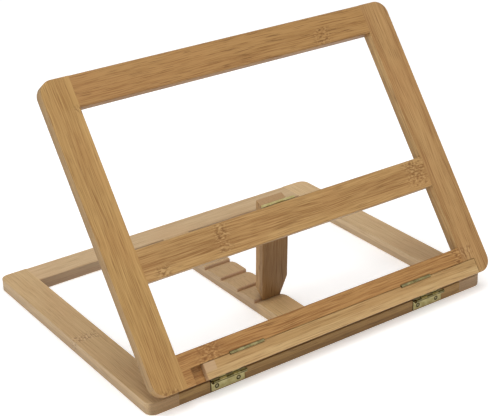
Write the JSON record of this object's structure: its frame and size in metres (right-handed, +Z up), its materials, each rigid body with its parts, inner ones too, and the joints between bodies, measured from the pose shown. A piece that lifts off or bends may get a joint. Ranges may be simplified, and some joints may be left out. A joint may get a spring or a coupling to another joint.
{
  "type": "photo album stand",
  "caption": "Folding bamboo album stand: flat base frame, hinged tilting frame with flip-up ledge, and a prop leg that stands in the notches of a centre rack.",
  "frame": {"origin": "centre of the base's underside, on the bottom face of the notched rack", "axes": "+X along the hinges towards the ledge's closed end, +Y towards the back, +Z up"},
  "size_m": [0.322, 0.2534, 0.2121],
  "materials": {
    "bamboo": "satin lacquer",
    "ledge_bamboo": "satin lacquer",
    "dowel": "raw",
    "brass": "plated, bright",
    "pin": "plated",
    "screw": "plated"
  },
  "bodies": {
    "base": {"base_left_rail": "bamboo", "base_right_rail": "bamboo", "base_back_rail": "bamboo", "base_front_rail": "bamboo", "notched_rack": "bamboo", "base_dowels": "dowel", "front_hinge_left_base_leaf": "brass", "front_hinge_right_base_leaf": "brass", "front_hinge_left_pin": "pin", "front_hinge_right_pin": "pin", "base_hinge_screws": "screw"},
    "tilting_frame": {"frame_left_stile": "bamboo", "frame_right_stile": "bamboo", "frame_top_rail": "bamboo", "frame_middle_rail": "bamboo", "frame_bottom_rail": "bamboo", "frame_dowels": "dowel", "front_hinge_left_frame_leaf": "brass", "front_hinge_right_frame_leaf": "brass", "frame_hinge_screws": "screw", "ledge_hinge_left_rail_leaf": "brass", "ledge_hinge_right_rail_leaf": "brass", "ledge_hinge_left_pin": "pin", "ledge_hinge_right_pin": "pin", "ledge_rail_screws": "screw", "leg_hinge_frame_leaf": "brass", "leg_hinge_pin": "pin", "leg_hinge_frame_screws": "screw"},
    "ledge": {"ledge_strip": "ledge_bamboo", "ledge_hinge_left_strip_leaf": "brass", "ledge_hinge_right_strip_leaf": "brass", "ledge_strip_screws": "screw"},
    "leg": {"prop_leg": "bamboo", "leg_hinge_leg_leaf": "brass", "leg_hinge_leg_screws": "screw"}
  },
  "joints": [
    {"name": "frame_tilt", "type": "hinge", "parent": "base", "child": "tilting_frame", "pos_m": [0.002, -0.12477, 0.0102], "axis": [1, 0, 0], "range_deg": [0, 119]},
    {"name": "ledge_flip", "type": "hinge", "parent": "tilting_frame", "child": "ledge", "pos_m": [0.002, -0.12406, 0.0286], "axis": [-1, 0, 0], "range_deg": [0, 179]},
    {"name": "leg_swing", "type": "hinge", "parent": "tilting_frame", "child": "leg", "pos_m": [0.002, -0.05962, 0.09854], "axis": [-1, 0, 0], "range_deg": [0, 42]}
  ],
  "couplings": [
    {"joint": "leg_swing", "follows": "frame_tilt", "ratio": 0.35}
  ]
}
